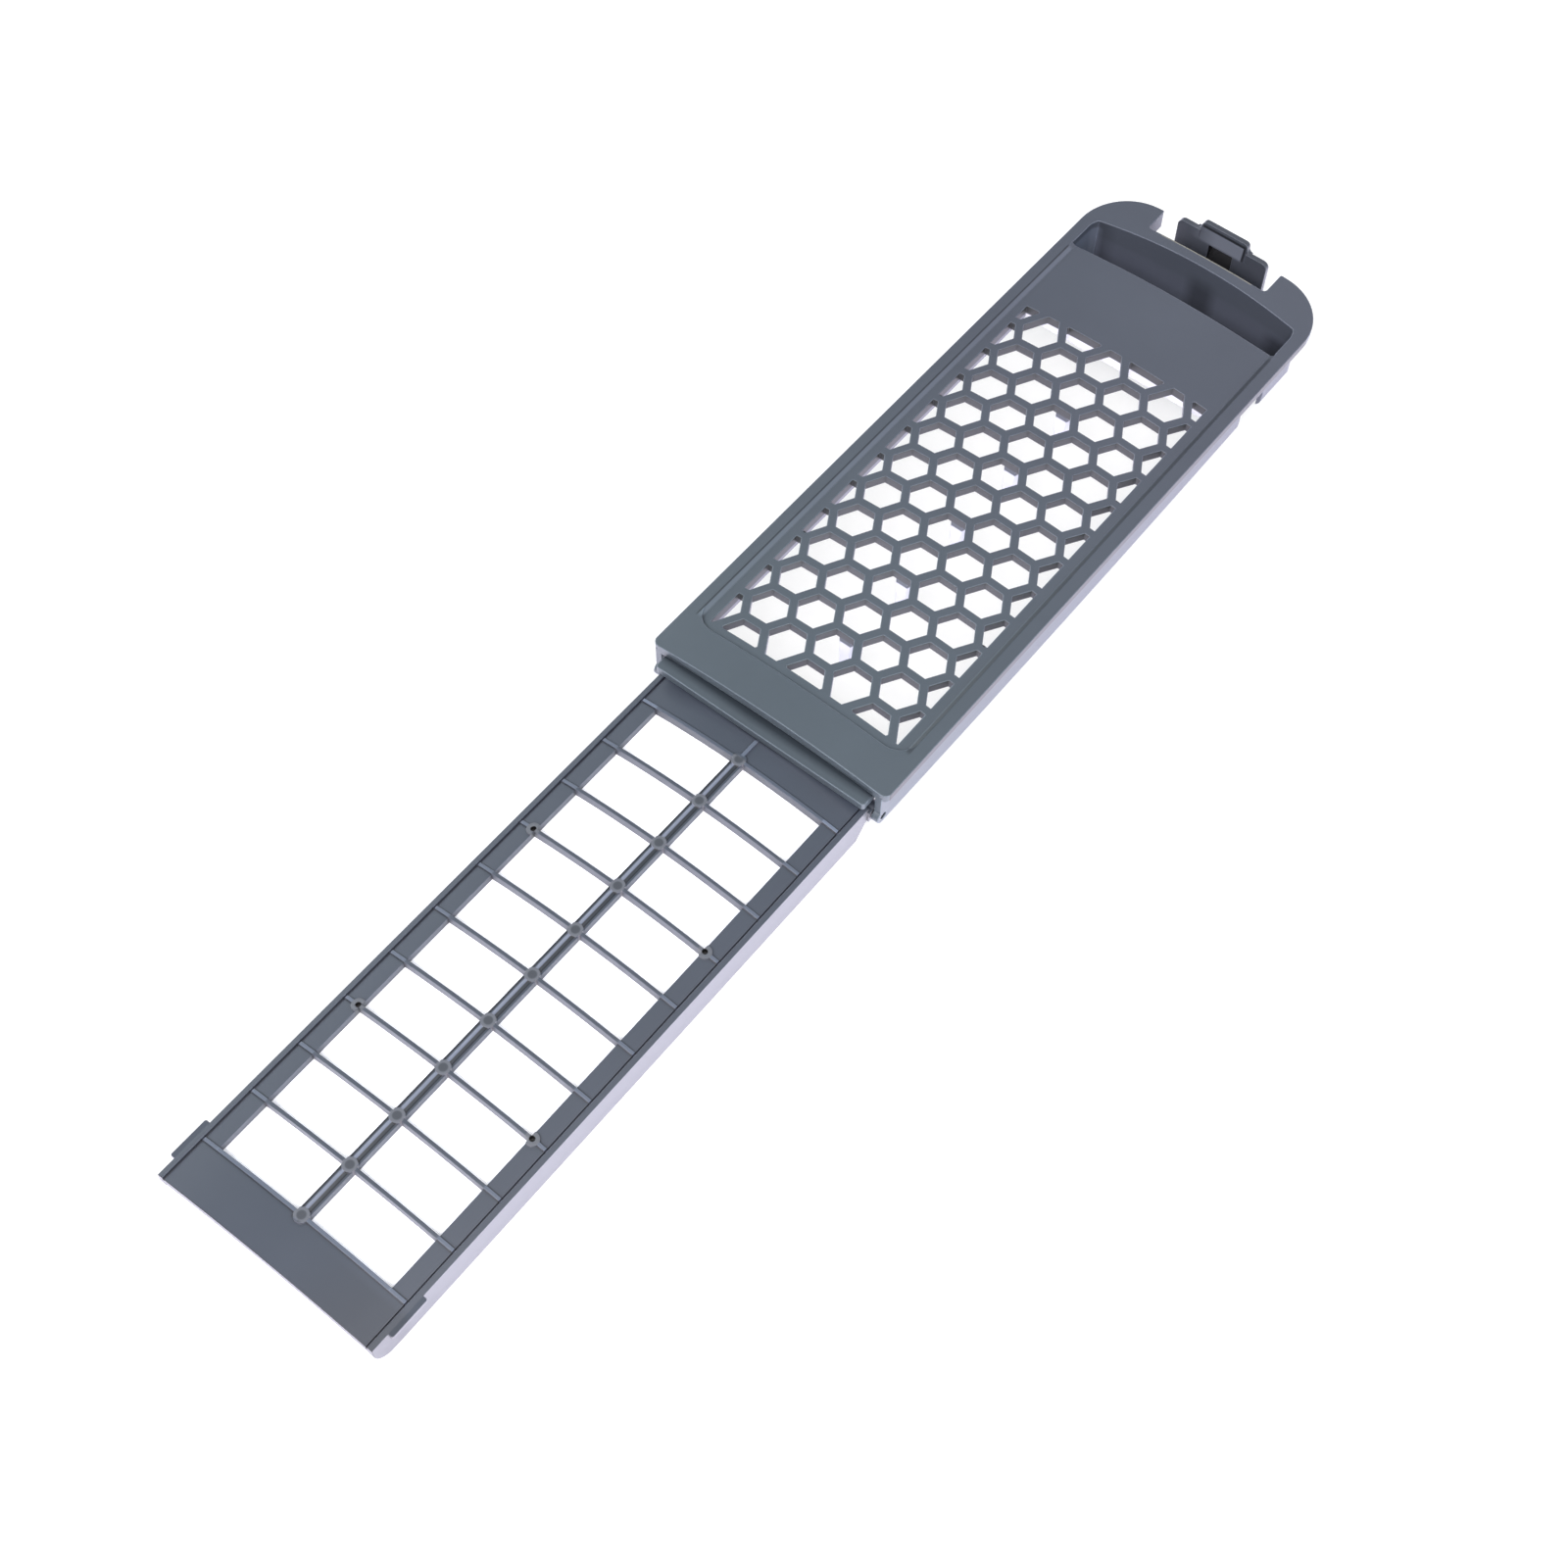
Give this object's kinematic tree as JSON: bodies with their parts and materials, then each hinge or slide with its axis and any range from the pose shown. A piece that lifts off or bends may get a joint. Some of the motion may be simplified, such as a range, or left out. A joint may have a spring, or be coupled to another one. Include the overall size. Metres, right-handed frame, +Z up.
{
  "type": "washing machine lint filter",
  "caption": "Hinged lint filter cassette, opened flat: a honeycomb front frame with finger pocket and sprung latch, and a netted grid frame that folds in behind it.",
  "frame": {"origin": "middle of the opened cassette's length and width, on the table it lies on", "axes": "+X across the cassette, +Y along it towards the handle end, +Z up"},
  "size_m": [0.0686, 0.3576, 0.019],
  "materials": {
    "front_plastic": "satin",
    "rear_plastic": "satin",
    "latch_plastic": "satin",
    "net": "fine woven net"
  },
  "bodies": {
    "front": {"front_frame": "front_plastic"},
    "rear": {"rear_frame": "rear_plastic", "filter_net": "net"},
    "latch": {"latch": "latch_plastic"}
  },
  "joints": [
    {"name": "cassette_hinge", "type": "hinge", "parent": "front", "child": "rear", "pos_m": [0, -0.01405, 0.0052], "axis": [1, 0, 0], "range_deg": [0, 180]},
    {"name": "latch_press", "type": "hinge", "parent": "front", "child": "latch", "pos_m": [0, 0.16915, 0.0019], "axis": [1, 0, 0], "range_deg": [0, 12], "stiffness_Nm_per_rad": 0.12}
  ]
}
